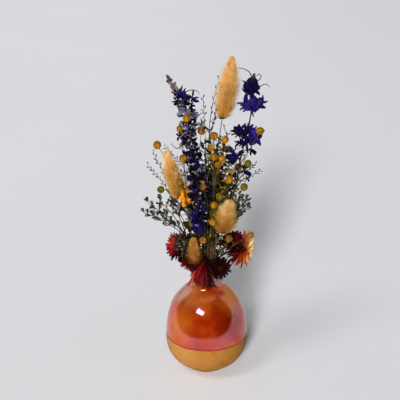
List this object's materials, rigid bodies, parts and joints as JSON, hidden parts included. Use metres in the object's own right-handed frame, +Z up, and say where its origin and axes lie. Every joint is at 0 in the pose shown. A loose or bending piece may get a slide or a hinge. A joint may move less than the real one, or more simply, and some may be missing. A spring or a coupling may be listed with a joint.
{
  "type": "dried flower bouquet in vase",
  "caption": "Round stoneware bud vase with a short neck, filled with dried grasses, larkspur, strawflowers, flax pods and statice.",
  "frame": {"origin": "middle of the flat foot that the vase stands on", "axes": "+Z up along the vase axis, -Y towards the side that the bouquet faces"},
  "size_m": [0.0988, 0.085, 0.2855],
  "materials": {
    "glazed_stoneware": "orange-red lustre glaze over speckled bare stoneware",
    "straw_stem": "dry straw",
    "tail_plume": "soft dry hairs",
    "green_stem": "dry olive green",
    "disc_yellow": "matt florets",
    "crimson_bract": "papery, slightly shiny",
    "maroon_bract": "papery, slightly shiny",
    "rust_bract": "papery, slightly shiny",
    "orange_bract": "papery, slightly shiny",
    "larkspur_petal": "matt crumpled petals",
    "flax_pod": "dry golden capsules",
    "statice_calyx": "matt papery",
    "grass_seed": "dry",
    "olive_twig": "dry"
  },
  "bodies": {
    "root": {"vase": "glazed_stoneware", "tail_stem_tall": "straw_stem", "tail_stem_left": "straw_stem", "tail_stem_right": "straw_stem", "tail_stem_front": "straw_stem", "strawflower_stem_left": "green_stem", "strawflower_stem_lower_left": "green_stem", "strawflower_stem_centre": "green_stem", "strawflower_stem_lower_right": "green_stem", "strawflower_stem_right": "green_stem", "strawflower_stem_right_back": "green_stem", "strawflower_stem_orange": "green_stem", "tail_head_tall": "tail_plume", "tail_head_left": "tail_plume", "tail_head_right": "tail_plume", "tail_head_front": "tail_plume", "strawflower_bracts_left": "crimson_bract", "strawflower_disc_left": "disc_yellow", "strawflower_bracts_lower_left": "maroon_bract", "strawflower_disc_lower_left": "disc_yellow", "strawflower_bracts_centre": "crimson_bract", "strawflower_disc_centre": "disc_yellow", "strawflower_bracts_lower_right": "maroon_bract", "strawflower_disc_lower_right": "disc_yellow", "strawflower_bracts_right": "rust_bract", "strawflower_disc_right": "disc_yellow", "strawflower_bracts_right_back": "maroon_bract", "strawflower_disc_right_back": "disc_yellow", "strawflower_bracts_orange": "orange_bract", "strawflower_disc_orange": "disc_yellow", "larkspur_left": "larkspur_petal", "larkspur_centre": "larkspur_petal", "larkspur_right": "larkspur_petal", "flax_left": "flax_pod", "flax_upper_left": "flax_pod", "flax_middle": "flax_pod", "flax_right": "flax_pod", "flax_front": "flax_pod", "flax_left_front": "flax_pod", "flax_right_low": "flax_pod", "flax_back": "flax_pod", "statice_left": "statice_calyx", "statice_right": "statice_calyx", "statice_front": "statice_calyx", "statice_back": "statice_calyx", "filler_middle": "olive_twig", "filler_left": "olive_twig", "seed_grass_left": "grass_seed", "seed_grass_left_back": "grass_seed", "seed_grass_tall": "grass_seed", "seed_grass_middle": "grass_seed", "seed_grass_right": "grass_seed"}
  },
  "joints": []
}
